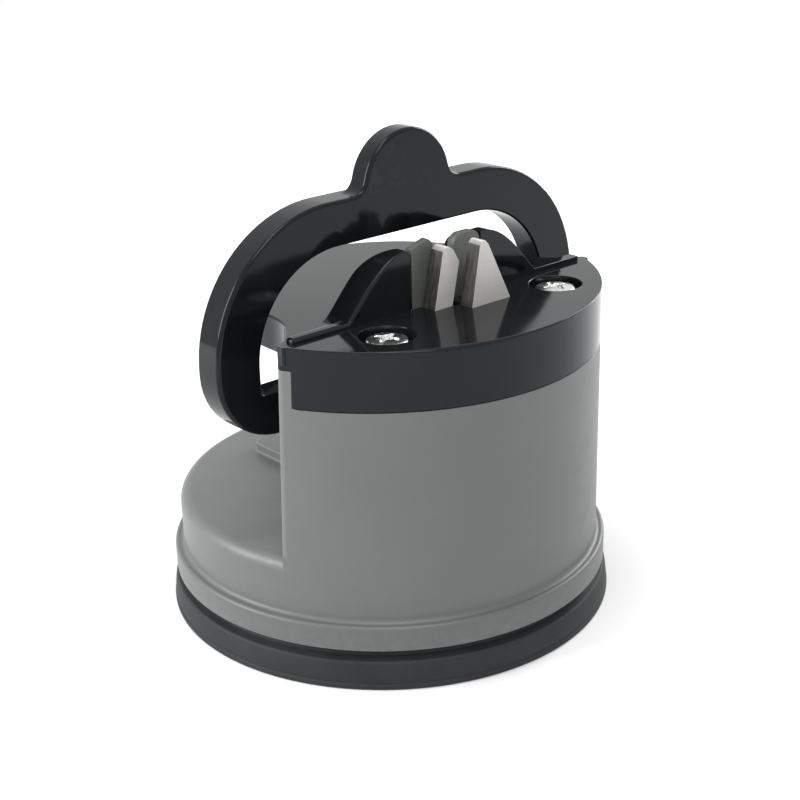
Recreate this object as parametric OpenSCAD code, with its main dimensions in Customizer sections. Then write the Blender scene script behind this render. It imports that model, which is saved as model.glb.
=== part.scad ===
// Suction-base knife sharpener with a ring lever. Millimetres, +Z up.
// Origin: centre of the rubber cup's underside. -Y is the curved front, +X runs along the two cap screws.
// The ring stands upright at rest and swings back over the rear deck to lift the middle of the cup.

/* [Base] */
// Radius of the flange round the foot of the shell
base_r = 30.5; // [28:0.1:36]
// Height of the rubber cup under the flange
cup_h = 5.4; // [4.6:0.1:8]
// Height of the flange
flange_h = 3.3; // [2:0.1:6]
// Step from the flange in to the body wall
flange_step = 1.2; // [0.8:0.1:3]
// Height of the rear deck above the flange
deck_rise = 7.6; // [6.4:0.1:14]
// Rounding of the deck's edge
deck_round = 1.7; // [0.5:0.1:2]
// Wall of the shell
wall = 2.1; // [1.6:0.1:2.6]

/* [Column] */
// How far the column's rear face stands in front of the axis
chord_y = 11.8; // [10:0.1:13.5]
// Height of the front wall above the deck
column_h = 20.7; // [14:0.1:34]
// How far the rear wall rises above the front wall
rear_rise = 4.8; // [3:0.1:8]
// Lean of the rear wall between the deck and its top
column_draft = 0.8; // [0:0.1:1.5]

/* [Cap] */
// Thickness of the cap over the column
cap_t = 2.85; // [2.2:0.05:5]
// Radius of the rear tongue
tongue_r = 20.2; // [14:0.1:21]
// How far the tongue's centre stands in front of the axis
tongue_y = 1; // [0:0.1:4]
// Height of the tongue's side
tongue_h = 4.75; // [3.5:0.05:8]
// Thickness of the tongue's top and of its rim
tongue_t = 2.2; // [1.2:0.1:2.6]
// Height of the finger guards above the cap
guard_h = 7.85; // [6:0.05:14]
// Half length of the two guards from tip to tip
guard_reach = 17.4; // [15:0.1:20]
// Thickness of a guard
guard_t = 4.2; // [3.2:0.1:6]
// Half width of the knife slot behind the plates
slot_half = 3.4; // [2.6:0.1:4]
// Cap screw: half the distance between the two screws
screw_x = 14.8; // [14:0.1:18]
// Cap screw: how far it stands in front of the axis
screw_y = 17.8; // [17:0.1:19.5]
// Cap screw: radius of its head
screw_head_r = 2.9; // [2.2:0.1:3.4]

/* [Plates] */
// Thickness of a carbide plate
plate_t = 2.2; // [1.4:0.1:2.3]
// Thickness of the two rear plates
rear_plate_t = 1.2; // [0.8:0.1:2]
// Gap between one plate and the next
plate_gap = 0.3; // [0.1:0.05:0.6]
// Height of the front plates above the cap
plate_h = 8.3; // [5:0.1:11]
// Width of the right front plate at the cap
right_w = 6.8; // [5:0.1:7.4]
// Width of the left front plate at the cap
left_w = 3.1; // [2.4:0.1:4]

/* [Lever] */
// Half width of the ring
ring_half_w = 31.35; // [29:0.05:38]
// Thickness of the ring
ring_t = 4.2; // [3:0.1:6]
// Thickness of the thumb tab
tab_t = 2.9; // [2:0.1:4]
// Height of the ring from its lower edge to its shoulders
ring_h = 28; // [26:0.1:40]
// Width of the ring's sides
ring_side = 6.35; // [4:0.05:8]
// Width of the ring's top bar
ring_top = 5.8; // [4:0.1:8]
// Width of the ring's bottom bar
ring_foot = 5.5; // [4:0.1:8]
// Radius of the thumb tab
tab_r = 7.3; // [5:0.1:9]
// Largest swing of the lever, in degrees
swing = 92; // [60:1:95]
// Lift of the cup's middle over the full swing
lift = 2.2; // [1:0.1:3]

/* [Suction] */
// Radius of the cup's stem
stem_r = 3; // [2.4:0.1:3.4]
// Radius of the pivot pin
pin_r = 1.5; // [1:0.05:1.8]
// Radius of the plate bonded to the cup
disc_r = 11; // [8:0.1:16]
// Wire of the return spring
wire_d = 0.8; // [0.5:0.05:1]
// Turns of the return spring
spring_turns = 3; // [2:0.25:3]

/* [Hidden] */
$fn = 128;

// Common values: the reach of a cut past a face, the gap between faces that meet, and running fits
cut = 1;
seat_gap = 0.1;
fit_gap = 0.05;
press_gap = 0.01;
corner_steps = 12;
flange_round = 0.5;
post_t = 1.5;

// Levels, from the ground up
flange_top_z = cup_h + flange_h;
deck_z = flange_top_z + deck_rise;
seam_z = deck_z + column_h;
rear_top_z = seam_z + rear_rise;
cap_z = rear_top_z + seat_gap;
top_z = cap_z + cap_t;
body_r = base_r - flange_step;
inner_r = body_r - wall;
corner_x = sqrt(pow(body_r, 2) - pow(chord_y, 2));
function rear_at(z) = chord_y - column_draft * (rear_top_z - z) / (rear_top_z - deck_z);

// Pad on the deck that the lever's cam bears on, with a steel strip each side of the eye
pad_half_w = 9;
pad_h = 1.5;
pad_front = 8;
pad_rear = 20.4;
pad_round = 2;
strip_t = 0.6;
strip_proud = 0.1;
strip_inner_x = 3.4;
strip_w = 2.5;
strip_front = 5.5;
strip_rear = 7.5;
pad_z = deck_z + pad_h;
strip_z = pad_z + strip_proud;

// Guide for the stem under the deck, and its bush
guide_r = stem_r + 3.3;
guide_drop = 3.7;
bush_wall = 1.5;
bush_flange = 1.2;
bush_flange_t = 0.7;
bush_r = stem_r + bush_wall;
guide_z = deck_z - guide_drop;
rib_t = 1.4;
rib_count = 6;

// Bosses in the column for the cap screws
boss_r = 2.8;
boss_hole_r = 1.25;
boss_drop = 17;
boss_gap = 4;
boss_z = cap_z - boss_gap;
boss_web = 1.6;
boss_floor = 1.6;
screw_shank_r = boss_hole_r - fit_gap;
screw_clear_r = 1.65;
screw_recess = 1.45;
screw_sunk = 0.25;
screw_recess_r = screw_head_r + 0.6;
screw_dome = 0.35;
screw_len = 13.5;
cross_arm = 1.9;
cross_w = 0.75;
cross_depth = 0.9;
cross_turn = 20;

// Plates: each stands one pitch behind the one before
plate_pitch = plate_t + plate_gap;
plate_y = 17.6;
plate_clear = 0.15;
plate_tip = 0.5;
left_y = plate_y - plate_pitch;
rear_y = left_y - plate_pitch;
right_x = -0.3;
right_lean = 1.4;
right_top_w = 1.5;
left_x = -4.4;
left_lean = 1.5;
left_top_w = 1.3;
left_tip = 2.2;
left_notch = 1.2;
rear_plate_rise = 0.4;
rear_plate_round = 1.5;
rear_plate_deep = 2.3;
rear_right_x = 1.25;
rear_left_x = 2.3;
rear_side_gap = 0.2;
rear_left_rise = 0.35;
rear_left_peak = 0.8;
rear_left_drop = 0.65;
rear_left_bevel = 0.85;

// Holder that grips the two front plates under the cap
holder_half_w = 7.6;
holder_front = 19.6;
holder_skin = 0.95;
holder_h = 6.8;
holder_floor = 1;
plate_low_z = cap_z - holder_h + holder_floor;
holder_rear = chord_y + holder_skin + seat_gap;
ear_x = 9.9;
ear_y = 16.3;
ear_r = 2.1;
ear_h = 2.6;
ear_gap = 0.15;
holder_screw_r = 0.95;
holder_head_r = 1.8;
holder_head_h = 1.3;
holder_thread = 5.9;
holder_hole_depth = 6.2;
cap_boss_r = 2;

// Cap edges: skirt, rim, guards and rail
skirt_t = 1.9;
rim_t = 1.8;
rail_w = 1.6;
rail_h = 0.6;
guard_y = 12.6;
guard_mid = 6.5;
guard_foot_ease = 1.65;
guard_top_ease = 5.2;
guard_tip_round = 1.5;
guard_end_round = 1.1;
guard_back_round = 3;
guard_wall_h = 5.4;
guard_pocket = 6.1;
flare_y = chord_y - tongue_y;
flare_x = min(corner_x - tongue_r, flare_y);
flare_r = (pow(flare_x, 2) + pow(flare_y, 2)) / (2 * flare_x);

// Lever: the ring hangs on a neck from the cam, and the cam turns on the pin in the eye
eye_half_w = 3;
eye_r = 3.2;
eye_foot = 0.5;
cam_gap = 0.1;
cheek_clear = 0.3;
cheek_w = 2.4;
cam_h0 = 4.6;
cam_rate = lift / (swing * PI / 180);
cam_heel = 3.6;
cam_shoulder = 5.2;
cam_step = 4;
pin_z = strip_z + cam_gap + cam_h0;
neck_half_w = eye_half_w + cheek_clear + cheek_w;
web_gap = 0.5;
ring_front = 5.75;
ring_back = ring_front - ring_t;
ring_z = pin_z + 8.0;
ring_top_z = ring_z + ring_h;
outer_top_r = 18.3;
outer_foot_r = 9;
inner_top_r = 13;
inner_foot_r = 0.8;
tab_rise = 0.1;
tab_fillet = 2.2;
pin_head_r = 2.5;
pin_head_t = 0.9;
pin_end = 1.6;
clip_r = 2.6;
clip_t = 0.5;
clip_gap = 0.1;
clip_groove = 0.35;
thread_r = 2.4;
eye_thread = 2.1;

// Cup: a rim that grips, a thin web and a bead under the flange
rim_over = 0.6;
rim_round = 0.4;
rim_lip = 0.9;
rim_in = 3;
web_t = 2.2;
web_z = 1.8;
rim_slope = 2.4;
bead_w = 1.6;
bead_in = 3.3;
groove_h = 1.2;
cup_taper = 0.45;
cup_r = base_r + rim_over;
disc_t = 1.5;
disc_z = web_z + web_t;
disc_top_z = disc_z + disc_t;
washer_t = 0.5;
washer_r = 5.4;
spring_r = 4.5;
spring_rings = 8;
spring_sides = 6;
bush_z = guide_z - bush_flange_t;
bush_top_z = strip_z - strip_t - seat_gap;
washer_z = bush_z - washer_t;
spring_low = disc_top_z;
spring_high = washer_z;
coil_rise = spring_high - spring_low - wire_d;

// Points of an arc from angle a0 to a1
function arc(cx, cy, r, a0, a1, n) = [
    for (i = [0:n]) let (a = a0 + (a1 - a0) * i / n) [cx + r * cos(a), cy + r * sin(a)]];

// A value that leaves a towards b and comes to d from c
function bend(a, b, c, d, t) =
    pow(1 - t, 3) * a + 3 * pow(1 - t, 2) * t * b + 3 * (1 - t) * pow(t, 2) * c + pow(t, 3) * d;

// Points of a list, mirrored left to right in reverse order
function mirrored(p) = [for (i = [len(p) - 1:-1:0]) [-p[i][0], p[i][1]]];

// The half plane in front of a line across the base, cut to the part's size
module in_front_of(y) {
    translate([-base_r, -base_r - y - cut]) square([2 * base_r, base_r + cut]);
}

// One copy on each side
module both_sides() {
    for (side = [0, 1]) mirror([side, 0, 0]) children();
}

// Drawn in the X-Z plane and given a thickness from y_front backwards
module standing(y_front, depth) {
    translate([0, depth - y_front, 0]) rotate([90, 0, 0]) linear_extrude(depth) children();
}

// Shell: one moulding of flange, domed deck and hollow column
module shell_turned() {
    rotate_extrude() polygon(concat(
        [[inner_r, cup_h], [base_r, cup_h]],
        arc(base_r - flange_round, flange_top_z - flange_round, flange_round, 0, 90, corner_steps),
        [[body_r, flange_top_z]],
        arc(body_r - deck_round, deck_z - deck_round, deck_round, 0, 90, corner_steps),
        [[0, deck_z], [0, deck_z - wall], [inner_r, deck_z - wall]]));
}

// Everything in front of the column's leaning rear face, set in by a thickness
module column_space(inset, radius, low, high) {
    intersection() {
        translate([0, 0, low]) cylinder(r = radius, h = high - low);
        translate([-base_r, 0, 0]) rotate([90, 0, 90]) linear_extrude(2 * base_r) polygon([
            [-base_r - cut, low], [-rear_at(low) - inset, low],
            [-rear_at(high) - inset, high], [-base_r - cut, high]]);
    }
}

module shell_boss() {
    turn = atan2(-screw_y, screw_x);
    reach = norm([screw_x, screw_y]);
    translate([screw_x, -screw_y, boss_z - boss_drop]) cylinder(r = boss_r, h = boss_drop);
    translate([0, 0, boss_z - boss_drop]) rotate([0, 0, turn])
        translate([reach, -boss_web / 2, 0])
            cube([inner_r - reach + wall / 2, boss_web, boss_drop - boss_gap]);
}

module shell_ribs() {
    rib_h = guide_drop - wall / 2;
    intersection() {
        translate([0, 0, guide_z]) cylinder(r = inner_r + wall / 2, h = rib_h);
        for (i = [0:rib_count - 1]) rotate([0, 0, (i + 1 / 2) * 360 / rib_count])
            translate([guide_r - cut, -rib_t / 2, guide_z])
                cube([inner_r - guide_r + 2 * cut, rib_t, rib_h]);
    }
}

module pad_outline() {
    translate([-pad_half_w, -pad_front]) square([2 * pad_half_w, pad_front + pad_rear - pad_round]);
    translate([pad_round - pad_half_w, 0]) square([2 * (pad_half_w - pad_round), pad_rear]);
    both_sides() translate([pad_half_w - pad_round, pad_rear - pad_round]) circle(pad_round);
}

module base_shell() {
    color([0.47, 0.48, 0.49]) difference() {
        union() {
            difference() {
                union() {
                    shell_turned();
                    column_space(0, body_r, flange_top_z - cut, rear_top_z);
                    translate([0, 0, deck_z - wall]) linear_extrude(wall + pad_h) pad_outline();
                    translate([0, 0, guide_z]) cylinder(r = guide_r, h = guide_drop);
                    shell_ribs();
                }
                column_space(wall, inner_r, cup_h - cut, rear_top_z + cut);
                column_space(post_t, base_r, seam_z, rear_top_z + cut);
            }
            intersection() {
                both_sides() shell_boss();
                cylinder(r = inner_r + wall / 2, h = boss_z);
            }
        }
        both_sides() translate([screw_x, -screw_y, boss_z - boss_drop + boss_floor])
            cylinder(r = boss_hole_r, h = boss_drop);
        translate([0, 0, guide_z - cut])
            cylinder(r = bush_r + press_gap, h = pad_z - guide_z + 2 * cut);
        both_sides() translate([strip_inner_x, -strip_front, strip_z - strip_t])
            cube([strip_w, strip_front + strip_rear, strip_t + cut]);
        translate([-holder_half_w - plate_clear, -chord_y - wall - cut, cap_z - holder_h - plate_clear])
            cube([2 * (holder_half_w + plate_clear), wall - holder_skin + cut, holder_h + cut]);
    }
}

// Cap: lid, front skirt, rear tongue, rail and the two finger guards, in one moulding
module cap_outline(inset) {
    intersection() {
        circle(body_r - inset);
        in_front_of(chord_y);
    }
    translate([0, -tongue_y]) circle(tongue_r - inset);
    difference() {
        translate([inset - tongue_r - flare_x, -chord_y - cut])
            square([2 * (tongue_r + flare_x - inset), flare_y + cut]);
        both_sides() translate([tongue_r + flare_r, -tongue_y]) circle(flare_r + inset);
    }
}

module guard_outline() {
    steps = 2 * corner_steps;
    side = [for (i = [0:steps]) let (t = i / steps) [
        bend(guard_reach, guard_reach - guard_foot_ease, guard_mid + guard_top_ease, guard_mid, t),
        bend(0, 0, guard_h, guard_h, t)]];
    polygon(concat([[slot_half, -tongue_t / 2], [guard_reach, -tongue_t / 2]], side,
        arc(slot_half + guard_tip_round, guard_h - guard_tip_round, guard_tip_round, 90, 180, corner_steps)));
}

// The left guard stops short of the rear plate, and only a low wall stands behind that plate
module left_guard_cut() {
    end_x = guard_pocket + guard_end_round;
    difference() {
        translate([-end_x, guard_wall_h]) square([end_x, guard_h]);
        translate([-end_x, 0]) square([guard_end_round, guard_h - guard_end_round]);
        translate([-end_x, guard_h - guard_end_round]) circle(guard_end_round);
    }
}

module guard_side() {
    back = guard_t - guard_y;
    polygon(concat([[-guard_y, -tongue_t], [back, -tongue_t]],
        arc(back - guard_back_round, guard_h - guard_back_round, guard_back_round, 0, 90, corner_steps),
        [[-guard_y, guard_h]]));
}

module top_cap() {
    color([0.06, 0.06, 0.065]) difference() {
        union() {
            translate([0, 0, top_z - tongue_t]) linear_extrude(tongue_t) cap_outline(0);
            translate([0, 0, cap_z]) linear_extrude(cap_t) intersection() {
                circle(body_r);
                in_front_of(chord_y);
            }
            translate([0, 0, top_z - tongue_h]) linear_extrude(tongue_h) difference() {
                cap_outline(0);
                cap_outline(rim_t);
                in_front_of(chord_y - seat_gap);
            }
            translate([0, 0, seam_z + seat_gap]) linear_extrude(cap_z - seam_z) difference() {
                intersection() {
                    circle(body_r);
                    in_front_of(chord_y + post_t + seat_gap);
                }
                circle(body_r - skirt_t);
            }
            translate([0, 0, top_z]) intersection() {
                both_sides() standing(guard_y, guard_t) guard_outline();
                translate([-guard_reach, 0, 0]) rotate([90, 0, 90])
                    linear_extrude(2 * guard_reach) guard_side();
            }
            translate([rim_t - corner_x, -guard_y, top_z - tongue_t / 2])
                cube([2 * (corner_x - rim_t), rail_w, rail_h + tongue_t / 2]);
            both_sides() translate([screw_x, -screw_y, boss_z + seat_gap]) cylinder(r = boss_r, h = boss_gap);
            both_sides() translate([ear_x, -ear_y, cap_z - holder_h + ear_h + ear_gap])
                cylinder(r = cap_boss_r, h = holder_h - ear_h);
        }
        both_sides() translate([screw_x, -screw_y, top_z - screw_recess])
            cylinder(r = screw_recess_r, h = screw_recess + cut);
        both_sides() translate([screw_x, -screw_y, boss_z])
            cylinder(r = screw_clear_r, h = top_z - boss_z);
        both_sides() translate([ear_x, -ear_y, cap_z - holder_h])
            cylinder(r = holder_screw_r + fit_gap, h = holder_hole_depth + ear_h - ear_gap);
        translate([right_x - plate_clear, -plate_y - plate_clear, seam_z])
            cube([right_w + 2 * plate_clear, plate_pitch + plate_clear, top_z]);
        translate([left_x - plate_clear, -left_y - plate_clear, seam_z])
            cube([left_w + left_notch + 2 * plate_clear, plate_pitch + plate_clear, top_z]);
        translate([-guard_pocket, -rear_y - plate_clear, top_z - rear_plate_deep - plate_clear])
            cube([2 * guard_pocket, rear_plate_t + 2 * plate_clear, top_z]);
        translate([-slot_half, -guard_y - cut, top_z])
            cube([2 * slot_half, guard_t + 2 * cut, guard_h + cut]);
        translate([0, 0, top_z]) standing(guard_y + cut, guard_t + 2 * cut) left_guard_cut();
    }
}

// Cross-head screws, their heads just under the cap's top
module cap_screws() {
    head_z = top_z - screw_recess;
    head_h = screw_recess - screw_sunk;
    color([0.8, 0.8, 0.8]) both_sides() translate([screw_x, -screw_y, head_z]) difference() {
        union() {
            rotate_extrude() polygon([[0, 0], [screw_head_r, 0], [screw_head_r, head_h - screw_dome],
                [screw_head_r - screw_dome, head_h], [0, head_h]]);
            translate([0, 0, -screw_len]) cylinder(r = screw_shank_r, h = screw_len + cut / 2);
        }
        for (turn = [0, 90]) rotate([0, 0, turn + cross_turn])
            translate([-cross_arm, -cross_w / 2, head_h - cross_depth])
                cube([2 * cross_arm, cross_w, cross_depth + cut]);
    }
}

// Carbide plates: the front two lean against each other, the rear two fill the ends of the guards
module right_front_plate() {
    color([0.66, 0.65, 0.63]) standing(plate_y, plate_t) polygon([
        [right_x, plate_low_z], [right_x + right_w, plate_low_z], [right_x + right_w, top_z],
        [right_x + right_lean + right_top_w, top_z + plate_h - plate_tip],
        [right_x + right_lean + right_top_w - plate_tip, top_z + plate_h],
        [right_x + right_lean + plate_tip, top_z + plate_h],
        [right_x + right_lean, top_z + plate_h - plate_tip],
        [right_x, top_z]]);
}

module left_front_plate() {
    tip_x = left_x + left_lean;
    color([0.7, 0.69, 0.67]) standing(left_y, plate_t) polygon([
        [left_x, plate_low_z], [left_x + left_w, plate_low_z], [left_x + left_w, top_z],
        [left_x + left_w + left_notch, top_z + plate_h - plate_tip - left_tip],
        [tip_x + left_top_w + plate_tip, top_z + plate_h - 2 * plate_tip],
        [tip_x + left_top_w - plate_tip / 2, top_z + plate_h - plate_tip],
        [tip_x + plate_tip, top_z + plate_h - plate_tip],
        [tip_x, top_z + plate_h - 2 * plate_tip],
        [left_x, top_z]]);
}

module right_rear_plate() {
    low = top_z - rear_plate_deep;
    high = top_z + guard_h + rear_plate_rise;
    right = guard_pocket - rear_side_gap;
    arc_z = high - rear_plate_round;
    color([0.45, 0.45, 0.44]) standing(rear_y, rear_plate_t) polygon(concat(
        [[rear_right_x, low], [right, low]],
        arc(right - rear_plate_round, arc_z, rear_plate_round, 0, 90, corner_steps),
        arc(rear_right_x + rear_plate_round, arc_z, rear_plate_round, 90, 180, corner_steps)));
}

module left_rear_plate() {
    low = top_z - rear_plate_deep;
    high = top_z + guard_h + rear_plate_rise + rear_left_rise;
    left = rear_side_gap - guard_pocket;
    color([0.45, 0.45, 0.44]) standing(rear_y, rear_plate_t) polygon([
        [left, low], [-rear_left_x, low], [-rear_left_x, high - rear_left_drop],
        [-rear_left_x - rear_left_peak, high], [left, high - rear_left_bevel]]);
}

// Holder: a block with a slot for each front plate and an ear each side for its screw
module plate_holder() {
    low = cap_z - holder_h;
    color([0.2, 0.2, 0.21]) difference() {
        union() {
            translate([-holder_half_w, -holder_front, low])
                cube([2 * holder_half_w, holder_front - holder_rear, holder_h - seat_gap]);
            both_sides() translate([ear_x, -ear_y, low]) cylinder(r = ear_r, h = ear_h);
            both_sides() translate([0, -ear_y - ear_r, low]) cube([ear_x, 2 * ear_r, ear_h]);
        }
        translate([right_x - plate_clear, -plate_y - plate_clear, low + holder_floor])
            cube([right_w + 2 * plate_clear, plate_pitch + plate_clear, holder_h]);
        translate([left_x - plate_clear, -left_y - plate_clear, low + holder_floor])
            cube([left_w + left_notch + 2 * plate_clear, plate_pitch + plate_clear, holder_h]);
        both_sides() translate([ear_x, -ear_y, low - cut])
            cylinder(r = holder_screw_r + 2 * fit_gap, h = ear_h + 2 * cut);
    }
}

module holder_screws() {
    color([0.6, 0.6, 0.6]) both_sides() translate([ear_x, -ear_y, cap_z - holder_h]) {
        translate([0, 0, -holder_head_h]) cylinder(r = holder_head_r, h = holder_head_h);
        translate([0, 0, -holder_head_h / 2])
            cylinder(r = holder_screw_r, h = holder_thread + holder_head_h / 2);
    }
}

// Lever: ring with a thumb tab, a neck, and a cam forked round the eye
module ring_outline() {
    top_x = ring_half_w - outer_top_r;
    foot_x = ring_half_w - outer_foot_r;
    half = concat(
        arc(foot_x, ring_z + outer_foot_r, outer_foot_r, -90, 0, corner_steps),
        arc(top_x, ring_top_z - outer_top_r, outer_top_r, 0, 90, 2 * corner_steps));
    polygon(concat(half, mirrored(half)));
}

module tab_outline() {
    tab_z = ring_top_z + tab_rise;
    fillet_z = ring_top_z + tab_fillet;
    fillet_x = sqrt(pow(tab_r + tab_fillet, 2) - pow(fillet_z - tab_z, 2));
    meet = atan2(fillet_z - tab_z, fillet_x);
    half = concat(
        [[fillet_x, ring_top_z - ring_top / 2]],
        arc(fillet_x, fillet_z, tab_fillet, 270, 180 + meet, corner_steps / 2),
        arc(0, tab_z, tab_r, meet, 90, corner_steps));
    polygon(concat(half, mirrored(half)));
}

module ring_opening() {
    inner_x = ring_half_w - ring_side;
    low = ring_z + ring_foot;
    high = ring_top_z - ring_top;
    half = concat(
        arc(inner_x - inner_foot_r, low + inner_foot_r, inner_foot_r, -90, 0, corner_steps / 2),
        arc(inner_x - inner_top_r, high - inner_top_r, inner_top_r, 0, 90, 2 * corner_steps));
    polygon(concat(half, mirrored(half)));
}

module cam_outline() {
    turns = [for (a = [0:cam_step:swing]) a];
    spiral = [for (a = turns) let (h = cam_h0 + cam_rate * a * PI / 180)
        [h * sin(a) + cam_rate * cos(a), -h * cos(a) + cam_rate * sin(a)]];
    polygon(concat([[-cam_heel, -cam_h0]], spiral,
        [[cam_h0, cam_h0], [eye_r / 2, cam_shoulder + eye_r / 2],
        [-ring_back, ring_z - pin_z + ring_foot / 2], [-ring_front, ring_z - pin_z + ring_foot / 2],
        [-ring_front, 0], [-cam_shoulder, -cam_heel]]));
}

module lever_ring() {
    color([0.05, 0.05, 0.055]) difference() {
        union() {
            standing(ring_front, ring_t) difference() {
                ring_outline();
                ring_opening();
            }
            standing(ring_front, tab_t) tab_outline();
            translate([-neck_half_w, 0, pin_z]) rotate([90, 0, 90])
                linear_extrude(2 * neck_half_w) cam_outline();
        }
        translate([-eye_half_w - cheek_clear, -eye_r - web_gap, pin_z - 2 * cam_h0])
            cube([2 * (eye_half_w + cheek_clear), 3 * cam_h0, 2 * cam_h0 + eye_r + web_gap]);
        translate([-neck_half_w - cut, 0, pin_z]) rotate([0, 90, 0])
            cylinder(r = pin_r + fit_gap, h = 2 * (neck_half_w + cut));
    }
}

// Pin with a head at one end and a groove for the clip at the other
module pivot_pin() {
    shoulder = neck_half_w + clip_gap;
    color([0.7, 0.7, 0.72]) translate([0, 0, pin_z]) rotate([0, 90, 0]) difference() {
        union() {
            translate([0, 0, -shoulder]) cylinder(r = pin_r, h = 2 * shoulder + pin_end);
            translate([0, 0, -shoulder - pin_head_t]) cylinder(r = pin_head_r, h = pin_head_t);
        }
        translate([0, 0, shoulder]) difference() {
            cylinder(r = pin_head_r, h = clip_t);
            translate([0, 0, -cut]) cylinder(r = pin_r - clip_groove, h = clip_t + 2 * cut);
        }
    }
}

// Spring clip in the pin's groove, open below
module pin_clip() {
    color([0.3, 0.3, 0.32]) translate([neck_half_w + clip_gap, 0, pin_z]) rotate([0, 90, 0])
        translate([0, 0, press_gap]) linear_extrude(clip_t - 2 * press_gap) difference() {
            circle(clip_r);
            circle(pin_r - clip_groove + press_gap);
            translate([0, -pin_r / 2]) square([clip_r + cut, pin_r]);
        }
}

// Eye nut on the stem's thread
module stem_eye() {
    low = pad_z + eye_foot;
    color([0.62, 0.62, 0.64]) difference() {
        union() {
            translate([-eye_half_w, -eye_r, low]) cube([2 * eye_half_w, 2 * eye_r, pin_z - low]);
            translate([-eye_half_w, 0, pin_z]) rotate([0, 90, 0]) cylinder(r = eye_r, h = 2 * eye_half_w);
        }
        translate([-eye_half_w - cut, 0, pin_z]) rotate([0, 90, 0])
            cylinder(r = pin_r + press_gap, h = 2 * (eye_half_w + cut));
        translate([0, 0, low - cut])
            cylinder(r = thread_r + press_gap, h = eye_thread + cut + press_gap);
    }
}

module cup_stem() {
    low = pad_z + eye_foot;
    color([0.66, 0.66, 0.68]) {
        translate([0, 0, disc_top_z]) cylinder(r = stem_r, h = low - disc_top_z);
        translate([0, 0, disc_top_z]) cylinder(r = thread_r, h = low - disc_top_z + eye_thread);
    }
}

module cup_plate() {
    color([0.6, 0.6, 0.62]) translate([0, 0, disc_z]) cylinder(r = disc_r, h = disc_t);
}

// Return spring: one unbroken round wire from the cup's plate to the washer
function coil_point(i, s) =
    let (
        a = 360 * i / spring_rings,
        b = 360 * s / spring_sides,
        r = spring_r + wire_d / 2 * cos(b),
        rise = coil_rise * i / (spring_turns * spring_rings))
    [r * cos(a), r * sin(a), spring_low + wire_d / 2 * (1 + sin(b)) + rise];

coil_count = floor(spring_turns * spring_rings);
coil_points = [for (i = [0:coil_count]) for (s = [0:spring_sides - 1]) coil_point(i, s)];
coil_gap = min([
    for (i = [0:coil_count - spring_rings]) for (s = [0:spring_sides - 1]) for (t = [0:spring_sides - 1])
        norm(coil_point(i, s) - coil_point(i + spring_rings, t))]);
echo(str("least gap between the spring's turns: ", coil_gap, " mm"));

module return_spring() {
    n = spring_sides;
    last = coil_count * n;
    side_faces = [
        for (i = [0:coil_count - 1]) for (s = [0:n - 1])
            let (a = i * n + s, b = i * n + (s + 1) % n)
            each [[a, b, b + n], [a, b + n, a + n]]];
    ends = concat([for (s = [1:n - 2]) [0, s + 1, s]], [for (s = [1:n - 2]) [last, last + s, last + s + 1]]);
    color([0.7, 0.7, 0.72]) polyhedron(points = coil_points, faces = concat(side_faces, ends));
}

module spring_washer() {
    color([0.66, 0.66, 0.66]) translate([0, 0, washer_z]) difference() {
        cylinder(r = washer_r, h = washer_t);
        translate([0, 0, -cut]) cylinder(r = stem_r + 2 * fit_gap, h = washer_t + 2 * cut);
    }
}

// Flanged bush pressed into the guide from below
module stem_bush() {
    color([0.86, 0.85, 0.8]) difference() {
        union() {
            translate([0, 0, bush_z]) cylinder(r = bush_r + bush_flange, h = bush_flange_t);
            translate([0, 0, bush_z]) cylinder(r = bush_r, h = bush_top_z - bush_z);
        }
        translate([0, 0, bush_z - cut]) cylinder(r = stem_r + fit_gap, h = bush_top_z - bush_z + 2 * cut);
    }
}

module wear_strips() {
    color([0.72, 0.72, 0.74]) both_sides()
        translate([strip_inner_x + fit_gap, -strip_front + fit_gap, strip_z - strip_t])
            cube([strip_w - 2 * fit_gap, strip_front + strip_rear - 2 * fit_gap, strip_t]);
}

// Rubber cup: gripping rim, hollow web and the bead that the flange stands on
module suction_cup() {
    bead_r = cup_r - bead_in;
    color([0.16, 0.16, 0.17]) rotate_extrude() polygon([
        [0, web_z], [cup_r - rim_in - rim_slope, web_z], [cup_r - rim_in, 0],
        [cup_r - rim_round, 0], [cup_r, rim_round], [cup_r, rim_lip],
        [cup_r - cup_taper / 2, rim_lip + cup_taper / 2], [cup_r - cup_taper, cup_h - groove_h],
        [bead_r + bead_w, cup_h - groove_h], [bead_r + bead_w, cup_h],
        [bead_r, cup_h], [bead_r, disc_z], [0, disc_z]]);
}

base_shell();
top_cap();
cap_screws();
right_front_plate();
left_front_plate();
right_rear_plate();
left_rear_plate();
plate_holder();
holder_screws();
lever_ring();
pivot_pin();
pin_clip();
stem_eye();
cup_stem();
cup_plate();
return_spring();
spring_washer();
stem_bush();
wear_strips();
suction_cup();
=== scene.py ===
import math

import bmesh
import bpy
import numpy as np
from mathutils import Matrix, Vector
from mathutils.bvhtree import BVHTree
from mathutils.geometry import intersect_point_line


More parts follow.
